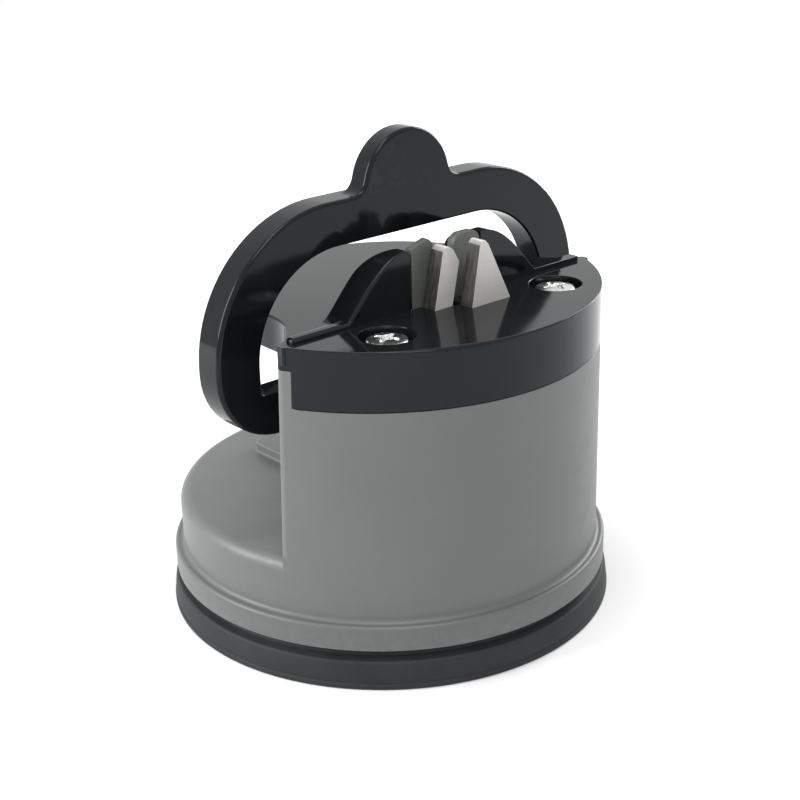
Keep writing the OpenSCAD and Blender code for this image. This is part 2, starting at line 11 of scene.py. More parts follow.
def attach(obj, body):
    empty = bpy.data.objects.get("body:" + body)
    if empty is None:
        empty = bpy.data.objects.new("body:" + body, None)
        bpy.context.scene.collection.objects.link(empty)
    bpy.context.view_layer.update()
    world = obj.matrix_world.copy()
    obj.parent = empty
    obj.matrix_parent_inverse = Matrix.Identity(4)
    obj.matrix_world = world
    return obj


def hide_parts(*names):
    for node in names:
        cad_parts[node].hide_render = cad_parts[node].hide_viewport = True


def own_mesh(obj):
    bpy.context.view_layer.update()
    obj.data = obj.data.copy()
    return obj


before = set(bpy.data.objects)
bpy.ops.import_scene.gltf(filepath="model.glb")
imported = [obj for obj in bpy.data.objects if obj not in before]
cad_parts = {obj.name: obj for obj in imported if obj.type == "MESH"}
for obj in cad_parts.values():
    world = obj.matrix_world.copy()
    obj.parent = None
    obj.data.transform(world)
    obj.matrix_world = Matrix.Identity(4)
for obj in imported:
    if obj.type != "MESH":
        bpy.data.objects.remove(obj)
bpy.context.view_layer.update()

MM = 0.001

# Suction cup: one moulding of soft black rubber that the whole sharpener stands on.
# Its rim is rounded where it meets the worktop, the side leans in a little towards the top, and a narrow
# bead above it carries the shell, so that a dark line shows under the flange.
CUP_R, CUP_FOOT = 31.1, 28.1
CUP_WEB, WEB_TOP = 1.8, 4.0
CUP_SLOPE, SLOPE_STEPS = 2.4, 8
LIP_R, CREASE_R, SHOULDER_R = 0.35, 0.2, 0.5
BEAD_R, BEAD_IN, BEAD_TOP = 29.4, 27.8, 5.38


def arc(cx, cy, r, a0, a1, n):
    """Points of an arc, angles in degrees, in millimetres."""
    return [(cx + r * math.cos(math.radians(a0 + (a1 - a0) * i / n)),
             cy + r * math.sin(math.radians(a0 + (a1 - a0) * i / n))) for i in range(n + 1)]


def circle(points):
    """Cosine and sine of this many even steps round a circle."""
    return [(math.cos(2 * math.pi * k / points), math.sin(2 * math.pi * k / points)) for k in range(points)]


def skin(bm, low, high):
    """Faces between two rings of as many points, or between a ring and a single point."""
    around = max(len(low), len(high))
    for k in range(around):
        j = (k + 1) % around
        if len(low) == 1:
            bm.faces.new((low[0], high[k], high[j]))
        elif len(high) == 1:
            bm.faces.new((low[k], low[j], high[0]))
        else:
            bm.faces.new((low[k], low[j], high[j], high[k]))


def new_object(name, bm):
    """Hands a bmesh over to an object in the scene, its faces outwards and smooth."""
    bmesh.ops.recalc_face_normals(bm, faces=bm.faces)
    mesh = bpy.data.meshes.new(name)
    bm.to_mesh(mesh)
    bm.free()
    for face in mesh.polygons:
        face.use_smooth = True
    ob = bpy.data.objects.new(name, mesh)
    bpy.context.scene.collection.objects.link(ob)
    return ob


def turned(name, profile, around):
    """A lathe-turned solid from (radius, height) points in millimetres; points on the axis become one vertex."""
    bm = bmesh.new()
    rings = []
    for r, z in profile:
        if r == 0:
            rings.append([bm.verts.new((0, 0, z * MM))])
        else:
            rings.append([bm.verts.new((r * MM * c, r * MM * s, z * MM)) for c, s in circle(around)])
    for low, high in zip(rings, rings[1:] + rings[:1]):
        if len(low) > 1 or len(high) > 1:
            skin(bm, low, high)
    return new_object(name, bm)


class Tone:
    """A value, colour or vector socket of a material, so that shader maths reads as plain sums."""

    def __init__(self, tree, socket):
        self.tree, self.socket = tree, socket

    def node(self, kind, settings, *values, out=0, **named):
        """Adds a node of this kind: first its settings, then the values or links of its sockets in order or by name."""
        made = self.tree.nodes.new(kind)
        stops = settings.pop("stops", None)
        for key, value in settings.items():
            setattr(made, key, value)
        if stops:
            ramp = made.color_ramp
            while len(ramp.elements) > len(stops):
                ramp.elements.remove(ramp.elements[-1])
            while len(ramp.elements) < len(stops):
                ramp.elements.new(1.0)
            for element, (place, tone) in zip(ramp.elements, stops):
                element.position = place
                element.color = (tone, tone, tone, 1)
        slots = list(zip(made.inputs, values)) + [(made.inputs[k.replace("_", " ")], v) for k, v in named.items()]
        for slot, value in slots:
            if isinstance(value, Tone):
                self.tree.links.new(value.socket, slot)
            elif value is not None:
                slot.default_value = value
        return Tone(self.tree, made.outputs[out])

    def math(self, operation, *values):
        return self.node("ShaderNodeMath", {"operation": operation}, *values)

    def __add__(self, other):
        return self.math("ADD", self, other)

    def __radd__(self, other):
        return self.math("ADD", other, self)

    def __sub__(self, other):
        return self.math("SUBTRACT", self, other)

    def __rsub__(self, other):
        return self.math("SUBTRACT", other, self)

    def __mul__(self, other):
        return self.math("MULTIPLY", self, other)

    def __rmul__(self, other):
        return self.math("MULTIPLY", other, self)

    def __abs__(self):
        return self.math("ABSOLUTE", self)

    def clamped(self):
        return self.node("ShaderNodeClamp", {}, self, 0.0, 1.0)

    def ramp(self, *stops):
        """The grey of a colour ramp with these (place, grey) stops."""
        return self.node("ShaderNodeValToRGB", {"stops": stops}, self)

    def blend(self, a, b):
        """Colour a where this is 0, colour b where it is 1; a Mix node's two colour sockets come after six others."""
        return self.node("ShaderNodeMix", {"data_type": "RGBA"}, self, *[None] * 5, a, b, out=2)

    def noise(self, scale, detail=3.0, rough=0.5, stretch=(1, 1, 1)):
        """Soft random pattern; scale counts its blotches to a metre."""
        where = self.node("ShaderNodeMapping", {}, self, (0, 0, 0), (0, 0, 0), stretch)
        return self.node("ShaderNodeTexNoise", {}, where, None, scale, detail, rough)

    def bump(self, strength, distance, normal=None):
        """A surface raised by this height, distance in metres."""
        return self.node("ShaderNodeBump", {}, strength, distance, Height=self, Normal=normal)


def finish_of(name):
    """A new material: its name, the part's own coordinates, and a call that sets the sockets of its shader."""
    made = bpy.data.materials.new(name)
    made.use_nodes = True
    tree = made.node_tree
    shader = tree.nodes["Principled BSDF"]
    spot = Tone(tree, tree.nodes.new("ShaderNodeTexCoord").outputs["Object"])

    def settle(**sockets):
        for key, value in sockets.items():
            slot = shader.inputs[key.replace("_", " ")]
            if isinstance(value, Tone):
                tree.links.new(value.socket, slot)
            else:
                slot.default_value = value
        return made

    return made, spot, settle


def dress(ob, material):
    """Gives an object one material."""
    ob.data.materials.clear()
    ob.data.materials.append(material)
    return ob


def stand_for(ob, body, slot, *nodes):
    """The piece rides on its body and takes its place for these CAD nodes. slot is not used."""
    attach(ob, body)
    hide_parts(*nodes)
    return ob


web_slope = [(CUP_FOOT - CUP_SLOPE * (1 - t), CUP_WEB * (1 - t ** 2 * (3 - 2 * t)))
             for t in (step / SLOPE_STEPS for step in range(SLOPE_STEPS))]
lip = arc(CUP_R - LIP_R, LIP_R, LIP_R, -90, 0, 6) + arc(CUP_R - CREASE_R, 0.62, CREASE_R, 0, 80, 4)
side = [(CUP_R - 0.17, 0.98), (CUP_R - 0.1, 1.2), (CUP_R - 0.16, 2.0), (CUP_R - 0.3, 3.0)]
shoulder = arc(CUP_R - 0.9, 3.4, SHOULDER_R, 5, 90, 6)
bead = [(BEAD_R + 0.1, 4.2), (BEAD_R, 4.28), (BEAD_R, BEAD_TOP), (BEAD_IN + 0.05, BEAD_TOP), (BEAD_IN, BEAD_TOP - 0.08),
        (BEAD_IN, WEB_TOP + 0.1), (BEAD_IN - 0.2, WEB_TOP)]
cup_profile = [(0, CUP_WEB)] + web_slope + [(CUP_FOOT, 0)] + lip + side + shoulder + bead + [(0, WEB_TOP)]
suction_cup = turned("suction_cup_rubber", cup_profile, around=192)

rubber, spot, settle = finish_of("moulded black rubber")
bloom = spot.noise(160, 5, 0.6)
scuffs = spot.noise(1400, 4, 0.6, (1, 1, 3)).ramp((0.6, 0.0), (0.72, 1.0))
settle(
    Base_Color=(bloom.ramp((0.3, 0.0), (0.75, 1.0)) * 0.7 + scuffs * 0.3).clamped().blend(
        (0.016, 0.017, 0.0185, 1), (0.032, 0.034, 0.037, 1)),
    Roughness=bloom * 0.18 + 0.52 - scuffs * 0.05,
    Specular_IOR_Level=0.3,
    Normal=(spot.noise(9000, 2) * 0.6 + spot.noise(2600, 3) * 0.4).bump(0.28, 0.00006))
stand_for(dress(suction_cup, rubber), "housing", "black_rubber", "suction_cup")

# Base shell: one grey ABS moulding of the flange, the domed rear deck with its raised pad, and the hollow column.
# The tool left a fine satin grain, soft rounded outer edges and a small fillet where the walls meet the deck.
# A light line down the column's rear corners is a painted highlight, and the darker foot next to the black cup is
# painted shade.

# Where its edges lie, in millimetres, and how wide each kind is rounded.
UNDERSIDE_Z, LEDGE_Z, DECK_Z, OVER_PAD_Z, SEAM_Z, POST_Z = 5.5, 8.7, 16.3, 18.2, 37.0, 41.8
DECK_THICK, HOLLOW_R, WALL_INSIDE_R, COLUMN_CORNER_R, FLANGE_R = 2.0, 28.9, 29.0, 27.5, 29.9
COLUMN_INSIDE_Y, COLUMN_REAR_Y, DECK_FRONT_Y = -13.5, -11.2, -10.2
LEDGE_HALF, COLUMN_REAR_HALF, NEAR = 0.3, 1.2, 0.2
STEM_SLOT_X, STEM_SLOT_Y = 6.4, (-7, 8)
FLANGE_ROUND, LEDGE_ROUND, PAD_ROUND, COLUMN_ROUND, SEAM_ROUND, DECK_FILLET = 0.35, 0.6, 0.35, 0.9, 0.12, 0.5
# The column's rear face at the height of the worktop, how far it leans forward for each millimetre of height, and
# how wide the painted highlight down its corners and the painted shade over the foot are.
REAR_FOOT_Y, REAR_LEAN = -10.49, 0.0313
CORNER_X, CORNER_LOW, CORNER_LIGHT = 26.1, 16.6, 0.7
FOOT_TOP = 8.7
# For the rounding itself: how near points of a CAD mesh are one, what area in square metres is a sliver of it, what
# share of a face its roundings may take, and how they ease into each other and back off where they would cross.
WELD = 2e-6
SLIVER_AREA = 1e-9
SHARED_ROOM, FREE_ROOM = 0.46, 0.9
EASING, BACK_OFF, CROSSING_REACH = 1.15, 0.7, 0.9
ROUNDS, SMOOTHING = 12, 4
CREASE_ANGLE = 32


def room_beside(edge, face, shaped):
    """How far the face reaches from the edge's middle before its outline comes back, less a little to spare;
    about half of that where the edge it comes back to is rounded too."""
    middle = (edge.verts[0].co + edge.verts[1].co) / 2
    along = (edge.verts[1].co - edge.verts[0].co).normalized()
    inward = face.normal.cross(along)
    loop = next(side for side in edge.link_loops if side.face == face)
    if (loop.link_loop_next.vert.co - loop.vert.co).dot(along) < 0:
        inward = -inward
    reach = 1.0
    for other in face.edges:
        if other is edge:
            continue
        start, step = other.verts[0].co - middle, other.verts[1].co - other.verts[0].co
        flat = Matrix(((inward.dot(inward), -inward.dot(step)), (inward.dot(step), -step.dot(step))))
        if abs(flat.determinant()) < 1e-16:
            continue
        distance, share = flat.inverted() @ Vector((inward.dot(start), step.dot(start)))
        if distance > 1e-6 and -0.001 <= share <= 1.001:
            reach = min(reach, distance * (SHARED_ROOM if other in shaped else FREE_ROOM))
    return reach


def crossed_outlines(mesh):
    """The places where a flat face's outline crosses itself, which a rounding too wide for its corner leaves."""
    places = []
    for face in mesh.polygons:
        if face.loop_total < 5:
            continue
        corners = np.array([mesh.vertices[i].co for i in face.vertices]) / MM
        across = face.normal.orthogonal().normalized()
        start = corners @ np.array([across, face.normal.cross(across)]).T
        step = np.roll(start, -1, axis=0) - start
        to_start = start[None, :] - start[:, None]
        from_line = step[:, None, 0] * to_start[..., 1] - step[:, None, 1] * to_start[..., 0]
        parted = from_line * np.roll(from_line, -1, axis=1) < -1e-10
        for i, j in np.argwhere(np.triu(parted & parted.T, 2)):
            turn = step[i, 0] * step[j, 1] - step[i, 1] * step[j, 0]
            share = (to_start[i, j, 0] * step[j, 1] - to_start[i, j, 1] * step[j, 0]) / turn
            after = corners[(i + 1) % len(corners)]
            places.append(Vector(corners[i] + (after - corners[i]) * share) * MM)
    return places


def gap_to_edge(place, start, end):
    """How far a place lies from the straight edge between two points."""
    share = intersect_point_line(place, start, end)[1]
    return (place - start.lerp(end, min(max(share, 0.0), 1.0))).length


def sharp_by_angle(ob, degrees):
    """Leaves a crisp line where two faces meet at more than this angle, and flat faces flat."""
    bm = bmesh.new()
    bm.from_mesh(ob.data)
    for edge in bm.edges:
        edge.smooth = len(edge.link_faces) != 2 or edge.calc_face_angle(0) < math.radians(degrees)
    bm.to_mesh(ob.data)
    bm.free()
    weighted = ob.modifiers.new("flat faces", "WEIGHTED_NORMAL")
    weighted.keep_sharp = True
    return ob


def sized_edges(node, name, width_of, segments=3, angle=28, keep=0.3):
    """A copy of a CAD node with its edges rounded, where they turn by more than angle degrees. width_of says how
    wide a rounding is, in millimetres, from its edge's middle and from whether the edge is hollow. None gets wider
    than its faces have room for, nor much wider than the next one, and any that cross at a corner are narrowed
    until they don't. Faces that turn by less than keep degrees are first made one."""
    bm = bmesh.new()
    bm.from_mesh(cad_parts[node].data)
    bmesh.ops.remove_doubles(bm, verts=bm.verts, dist=WELD)
    slivers = [edge.link_faces[0] for edge in bm.edges
               if len(edge.link_faces) == 1 and edge.link_faces[0].calc_area() < SLIVER_AREA]
    bmesh.ops.delete(bm, geom=slivers, context="FACES")
    sharp_form = BVHTree.FromBMesh(bm)
    bmesh.ops.dissolve_limit(bm, angle_limit=math.radians(keep), verts=bm.verts, edges=bm.edges)
    bm.edges.index_update()
    shaped = {}
    for edge in bm.edges:
        if len(edge.link_faces) == 2 and edge.calc_face_angle(0) > math.radians(angle):
            middle = (edge.verts[0].co + edge.verts[1].co) / 2 / MM
            width = width_of(middle, edge.calc_face_angle_signed(0) < 0)
            if width > 0:
                shaped[edge] = width * MM
    for edge in shaped:
        shaped[edge] = min([shaped[edge]] + [room_beside(edge, face, shaped) for face in edge.link_faces])
    widths = {edge.index: width for edge, width in shaped.items()}
    spans = {edge.index: [vert.co.copy() for vert in edge.verts] for edge in shaped}
    beside = {edge.index: [other.index for vert in edge.verts for other in vert.link_edges if other in shaped]
              for edge in shaped}
    ob = new_object(name, bm)
    rounding = ob.modifiers.new("rounding", "BEVEL")
    rounding.limit_method = "WEIGHT"
    rounding.segments = segments
    rounding.use_clamp_overlap = False
    ob.data.attributes.new("bevel_weight_edge", "FLOAT", "EDGE")
    for attempt in range(ROUNDS):
        for sweep in range(SMOOTHING):
            for i in widths:
                widths[i] = min(widths[i], EASING * min(widths[j] for j in beside[i]))
        rounding.width = widest = max(widths.values())
        weights = [widths.get(i, 0.0) / widest for i in range(len(ob.data.edges))]
        ob.data.attributes["bevel_weight_edge"].data.foreach_set("value", weights)
        ob.data.update()
        ob.update_tag()
        bpy.context.view_layer.update()
        rounded = bpy.data.meshes.new_from_object(ob.evaluated_get(bpy.context.evaluated_depsgraph_get()))
        places = crossed_outlines(rounded)
        if not places:
            break
        for i, (start, end) in spans.items():
            if any(gap_to_edge(place, start, end) < CROSSING_REACH * MM for place in places):
                widths[i] *= BACK_OFF
    ob.modifiers.clear()
    ob.data = rounded
    for vert in rounded.vertices:
        nearest, _, _, gap = sharp_form.find_nearest(vert.co)
        if gap > 0.5 * widest:
            vert.co = nearest
    for face in rounded.polygons:
        face.use_smooth = True
    return sharp_by_angle(ob, CREASE_ANGLE)


def edge_wear(spot, tight=0.52, wide=0.58):
    """1 on the outer corners that hands rub, 0 on the flats."""
    point = spot.node("ShaderNodeNewGeometry", {}, out="Pointiness")
    return point.ramp((tight, 0.0), (wide, 1.0)) * spot.noise(900, 4).ramp((0.42, 0.0), (0.62, 1.0))


def beyond(tone, edge, over=0.5):
    """0 up to this edge, 1 from over millimetres past it."""
    return ((tone - edge * MM) * (1 / (over * MM))).clamped()


def shell_edge(p, hollow):
    """Width of the shell's rounding at a place, 0 inside it and where the tool's parts meet."""
    r = math.hypot(p.x, p.y)
    if p.z < UNDERSIDE_Z or (p.z < DECK_Z - DECK_THICK and r < HOLLOW_R):
        return 0.0
    if r > FLANGE_R:
        return FLANGE_ROUND
    if abs(p.z - LEDGE_Z) < LEDGE_HALF:
        return LEDGE_ROUND
    if p.y < COLUMN_INSIDE_Y and r < WALL_INSIDE_R and p.z < SEAM_Z + NEAR:
        return 0.0
    if p.y > DECK_FRONT_Y and p.z < OVER_PAD_Z:
        return 0.0 if abs(p.x) <= STEM_SLOT_X and STEM_SLOT_Y[0] <= p.y <= STEM_SLOT_Y[1] else PAD_ROUND
    if abs(p.y - COLUMN_REAR_Y) < COLUMN_REAR_HALF and r > COLUMN_CORNER_R:
        return COLUMN_ROUND
    if abs(p.z - SEAM_Z) < NEAR or abs(p.z - POST_Z) < NEAR:
        return SEAM_ROUND
    if hollow and abs(p.z - DECK_Z) < NEAR:
        return DECK_FILLET
    return 0.0


base_shell = sized_edges("base_shell", "base_shell_moulding", shell_edge, segments=4)

abs_grey, spot, settle = finish_of("satin grey ABS")
broad = spot.noise(45, 3)
specks = spot.noise(2600, 3, 0.6).ramp((0.66, 0.0), (0.74, 1.0))
smears = spot.noise(240, 4, 0.55, (1, 1, 2.5))
# The outer edges are lightened a little below, partly as wear and partly as a painted highlight on their rounding.
worn = edge_wear(spot)
x, y, z = (spot.node("ShaderNodeSeparateXYZ", {}, spot, out=axis) for axis in range(3))
# Painted highlight: a light line down the column's rear corners, in place of the gloss on their rounding.
from_rear_face = abs(y - REAR_FOOT_Y * MM + REAR_LEAN * z)
line = (1 - from_rear_face * (1 / (CORNER_LIGHT * MM))).clamped()
painted_corner_highlight = line * beyond(abs(x), CORNER_X) * beyond(z, CORNER_LOW)
# Painted shade: the flange and foot below the ledge are darkened next to the black cup.
foot = 1 - beyond(z, FOOT_TOP)
resin = (broad * 0.6 + specks * 0.3).clamped().blend((0.130, 0.134, 0.133, 1), (0.178, 0.183, 0.184, 1))
resin_with_painted_foot_shade = (foot * 0.16).blend(resin, (0.045, 0.047, 0.045, 1))
grain = spot.noise(11000, 2) * 0.7 + spot.noise(3500, 3) * 0.3
settle(
    Base_Color=(worn * 0.18 + painted_corner_highlight * 0.65).clamped().blend(resin_with_painted_foot_shade, (0.27, 0.275, 0.275, 1)),
    Roughness=smears * 0.14 + 0.35 - worn * 0.05,
    Specular_IOR_Level=0.5,
    Normal=grain.bump(0.2, 0.00005, spot.noise(60, 2).bump(0.25, 0.0002)))
stand_for(dress(base_shell, abs_grey), "housing", "grey_shell", "base_shell")

# Wear strips: two stamped strips of spring steel that the lever's cam rubs along as it lifts the stem.
# They are let into slots in the shell's pad, one on each side of the stem, with their tops just proud of it.


def ground_steel(name, dark, bright, rough, lines=(1, 1, 1), line_scale=2500):
    """Bare steel with tool lines along one way, a faint stain and rubbed edges."""
    made, spot, settle = finish_of(name)
    marks = spot.noise(line_scale, 4, 0.65, lines)
    stain = spot.noise(300, 4, 0.6)
    worn = edge_wear(spot)
    return settle(
        Base_Color=(marks * 0.45 + stain * 0.35 + worn * 0.3).clamped().blend(dark, bright),
        Metallic=0.95 - stain * 0.1,
        Roughness=marks * 0.2 + rough,
        Normal=marks.bump(0.2, 0.00004))


rolled_steel = ground_steel("rolled spring steel", (0.36, 0.36, 0.37, 1), (0.7, 0.7, 0.71, 1), 0.2, (1, 0.06, 1))
strips = sized_edges("wear_strips", "wear_strips_steel", lambda p, hollow: 0.06, segments=2)
stand_for(dress(strips, rolled_steel), "housing", "steel", "wear_strips")

# Stem bush: a cream acetal sleeve that guides the stem, turned from rod with a wide collar at its foot.
# It is pushed up through the hole in the deck until the collar stops it.
BUSH = [(3.05, 11.98), (3.13, 11.9), (5.62, 11.9), (5.7, 11.98), (5.7, 12.52), (5.64, 12.58), (4.5, 12.6),
        (4.5, 17.1), (4.4, 17.2), (3.15, 17.2), (3.05, 17.1)]
bush = turned("stem_bush_acetal", BUSH, around=64)
acetal, spot, settle = finish_of("cream acetal")
cloud = spot.noise(700, 3)
settle(Base_Color=cloud.blend((0.60, 0.58, 0.50, 1), (0.74, 0.72, 0.65, 1)), Roughness=cloud * 0.15 + 0.32,
       Normal=spot.noise(6000, 2).bump(0.15, 0.00004))
stand_for(dress(sharp_by_angle(bush, 40), acetal), "housing", "white_bush", "stem_bush")

# Spring washer: a zinc-plated steel ring that lies under the bush's collar and seats the spring.
# It is punched from sheet, and its corners are only just broken.
turned_steel = ground_steel("turned steel", (0.30, 0.30, 0.31, 1), (0.62, 0.62, 0.63, 1), 0.22, (1, 1, 0.1))
WASHER = [(3.12, 11.4), (5.3, 11.4), (5.4, 11.5), (5.4, 11.88), (5.38, 11.9), (3.14, 11.9), (3.1, 11.86), (3.1, 11.44)]
washer = turned("spring_washer_zinc", WASHER, around=64)
stand_for(dress(sharp_by_angle(washer, 40), turned_steel), "housing", "steel", "spring_washer")

# Return spring: a coil of drawn steel wire round the stem, held between the washer and the stem's plate.
# It pushes the cup back down, and on the real sharpener it shortens as the lever lifts the stem; here the coil keeps
# its length and rides on the stem.
SPRING_LOW, SPRING_HIGH = 5.55, 11.35
SPRING_R, WIRE_R = 4.5, 0.38
SPRING_TURNS, STEPS_A_TURN, WIRE_SIDES = 3, 40, 12
steps = SPRING_TURNS * STEPS_A_TURN
bm = bmesh.new()
rings = []
for i in range(steps + 1):
    turn = 2 * math.pi * SPRING_TURNS * i / steps
    height = SPRING_LOW + WIRE_R + (SPRING_HIGH - SPRING_LOW - 2 * WIRE_R) * i / steps
    wire = [(SPRING_R + WIRE_R * c, height + WIRE_R * s) for c, s in circle(WIRE_SIDES)]
    rings.append([bm.verts.new((r * MM * math.cos(turn), r * MM * math.sin(turn), h * MM)) for r, h in wire])
for low, high in zip(rings, rings[1:]):
    skin(bm, low, high)
bm.faces.new(rings[0])
bm.faces.new(rings[-1][::-1])
spring = new_object("return_spring_wire", bm)
drawn_wire = ground_steel("drawn spring wire", (0.28, 0.28, 0.29, 1), (0.6, 0.6, 0.61, 1), 0.25, (1, 1, 0.2), 4000)
stand_for(dress(sharp_by_angle(spring, 60), drawn_wire), "stem", "steel", "return_spring")
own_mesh(spring)

# Stem and its plate: a turned steel stem with a threaded end, pressed into a stamped disc of sheet steel.
# The disc is bonded to the middle of the rubber cup, so that on the real sharpener the cup's middle comes up with the
# stem; here the cup is rigid.
STEM = [(0, 5.5), (2.9, 5.5), (3.0, 5.6), (3.0, 18.2), (2.9, 18.3), (2.4, 18.3), (2.4, 20.2), (2.2, 20.4), (0, 20.4)]
stem = turned("cup_stem_steel", STEM, around=64)
stand_for(dress(sharp_by_angle(stem, 40), turned_steel), "stem", "steel", "cup_stem")

PLATE = [(0, 4.0), (10.9, 4.0), (11.0, 4.1), (11.0, 5.3), (10.8, 5.5), (8.6, 5.5), (8.4, 5.4), (6.6, 5.4), (6.4, 5.5),
         (0, 5.5)]
plate = turned("cup_plate_steel", PLATE, around=96)
stand_for(dress(sharp_by_angle(plate, 40), turned_steel), "stem", "steel", "cup_plate")

# Stem eye: a small milled block of steel screwed on the stem's thread, with a cross hole for the pin.
# It stands between the two cheeks of the lever's neck.
eye = sized_edges("stem_eye", "stem_eye_steel", lambda p, hollow: 0.0 if hollow else 0.18)
milled_steel = ground_steel("milled steel", (0.32, 0.32, 0.33, 1), (0.62, 0.62, 0.63, 1), 0.26, (0.12, 1, 1))
stand_for(dress(eye, milled_steel), "stem", "steel", "stem_eye")

# Pivot pin and its clip: the pin is turned from 3 mm rod, with a head at one end and a groove at the other.
# It goes through the lever's cheeks and the eye, and a blackened spring clip snapped in the groove keeps it there.
pin = sized_edges("pivot_pin", "pivot_pin_steel", lambda p, hollow: 0.0 if hollow else 0.16)
pin_steel = ground_steel("polished pin steel", (0.42, 0.42, 0.43, 1), (0.75, 0.75, 0.76, 1), 0.14, (0.1, 1, 1))
stand_for(dress(pin, pin_steel), "stem", "steel", "pivot_pin")

clip = sized_edges("pin_clip", "pin_clip_spring", lambda p, hollow: 0.07, segments=2)
black_steel = ground_steel("blackened spring steel", (0.03, 0.03, 0.032, 1), (0.12, 0.12, 0.12, 1), 0.3)
stand_for(dress(clip, black_steel), "stem", "dark_steel", "pin_clip")

# Lever: a glossy black ABS ring with a round thumb tab, standing upright in front of the deck's middle.
# Its front edge is broadly rounded, the other edges just eased. The neck under it forks round the eye and ends
# in the cam that lifts the stem when the ring is swung back.
RING_FRONT = -5.75
NECK_TOP, CROOK_TOP = 30.0, 38.0
OPENING_X, OPENING_LOW, OPENING_HIGH = 25.3, 35.8, 52.9
NECK_ROUND, FRONT_ROUND, OPENING_ROUND, REAR_ROUND = 0.3, 0.5, 0.3, 0.25


def lever_edge(p, hollow):
    """Width of the lever's rounding at a place, 0 in the hollow corners of the neck's fork."""
    if p.z < NECK_TOP:
        return 0.0 if hollow else NECK_ROUND
    front = abs(p.y - RING_FRONT) < 0.1
    if abs(p.x) < OPENING_X and OPENING_LOW < p.z < OPENING_HIGH:
        return OPENING_ROUND if front else REAR_ROUND
    if hollow and p.z < CROOK_TOP:
        return NECK_ROUND
    return FRONT_ROUND if front else REAR_ROUND


def gloss_black(name, level, rough, wave, shine):
    """Glossy black ABS: hard reflections with a little wave from the mould, hair scratches, dust and rubbed edges.
    level is how light its black is, and shine how strongly it reflects."""
    made, spot, settle = finish_of(name)
    worn = edge_wear(spot, 0.53, 0.6)
    scratched = spot.noise(120, 2).ramp((0.5, 0.0), (0.6, 1.0))
    hairs = spot.noise(420, 3, 0.6, (16, 1, 1)).ramp((0.62, 0.0), (0.67, 1.0)) * scratched
    dust = spot.noise(5200, 2, 0.5).ramp((0.72, 0.0), (0.78, 1.0))
    prints = spot.noise(190, 4, 0.6)
    return settle(
        Base_Color=(dust * 0.5 + worn * 0.3 + prints * 0.15).clamped().blend(
            (level, level * 1.05, level * 1.2, 1), (level + 0.03, level + 0.032, level + 0.035, 1)),
        Roughness=(prints * 0.08 + rough + dust * 0.2 + hairs * 0.10).clamped(),
        Specular_IOR_Level=shine,
        Specular_Tint=(0.83, 0.93, 1.0, 1),
        Normal=hairs.bump(0.08, 0.00002, spot.noise(48, 2, 0.4).bump(wave, 0.0006)))


lever = sized_edges("lever_ring", "lever_ring_moulding", lever_edge, segments=5)
lever_black = gloss_black("glossy black lever ABS", level=0.005, rough=0.05, wave=0.05, shine=0.21)
stand_for(dress(lever, lever_black), "lever", "black_lever", "lever_ring")

# Cutting plates: two pale sintered carbide plates ground flat, their edges crossing to make the notch,
# and two darker ones behind them that fill the ends of the finger guards. All are clamped, none is moulded in.


def carbide(name, edge_tone, face_tone, bright):
    """Ground carbide: faces with grinding lines and pits, duller sawn edges at the sides, chipped corners."""
    made, spot, settle = finish_of(name)
    facing = spot.node("ShaderNodeTexCoord", {}, out="Normal")
    sawn = abs(spot.node("ShaderNodeSeparateXYZ", {}, facing)).ramp((0.6, 0.0), (0.8, 1.0))
    lines = spot.noise(1500, 5, 0.7, (0.25, 1, 3.5))
    strokes = spot.noise(1300, 3, 0.6, (1, 2.5, 0.05)).ramp((0.5, 0.0), (0.7, 1.0))
    cloud = spot.noise(420, 4, 0.6)
    pits = spot.noise(6500, 2).ramp((0.66, 0.0), (0.74, 1.0))
    worn = edge_wear(spot, 0.53, 0.6)
    ground = (lines * 0.4 + cloud * 0.5 - pits * 0.3).clamped().blend(face_tone, bright)
    return settle(
        Base_Color=(sawn - worn * 0.12 - strokes * 0.12).clamped().blend(ground, edge_tone),
        Metallic=0.15,
        Roughness=lines * 0.2 + 0.34,
        Normal=(lines - pits * 0.5).bump(0.18, 0.00004))


PALE = carbide("pale ground carbide", (0.055, 0.055, 0.053, 1), (0.63, 0.612, 0.584, 1), (0.88, 0.853, 0.822, 1))
DARK = carbide("dark ground carbide", (0.20, 0.21, 0.195, 1), (0.085, 0.092, 0.084, 1), (0.20, 0.21, 0.195, 1))
for node, material, slot in (("right_front_plate", PALE, "carbide"), ("left_front_plate", PALE, "carbide"),
                             ("right_rear_plate", DARK, "dark_carbide"), ("left_rear_plate", DARK, "dark_carbide")):
    cutting_plate = sized_edges(node, node + "_carbide", lambda p, hollow: 0.09, segments=2, angle=18)
    stand_for(dress(cutting_plate, material), "housing", slot, node)

# Plate holder and its screws: a dark block of glass-filled nylon under the cap, with a slot for each front plate.
# Two small plated screws through its ears pull it up against the cap.
holder = sized_edges("plate_holder", "plate_holder_nylon", lambda p, hollow: 0.0 if hollow else 0.15, segments=2)
nylon, spot, settle = finish_of("glass-filled nylon")
fibres = spot.noise(3000, 4, 0.7, (1, 0.3, 1))
settle(Base_Color=fibres.blend((0.022, 0.022, 0.024, 1), (0.06, 0.06, 0.062, 1)), Roughness=fibres * 0.2 + 0.42,
       Normal=fibres.bump(0.25, 0.00005))
stand_for(dress(holder, nylon), "housing", "dark_holder", "plate_holder")
holder_screws = sized_edges("holder_screws", "holder_screws_steel", lambda p, hollow: 0.15, segments=3)
stand_for(dress(holder_screws, turned_steel), "housing", "steel", "holder_screws")

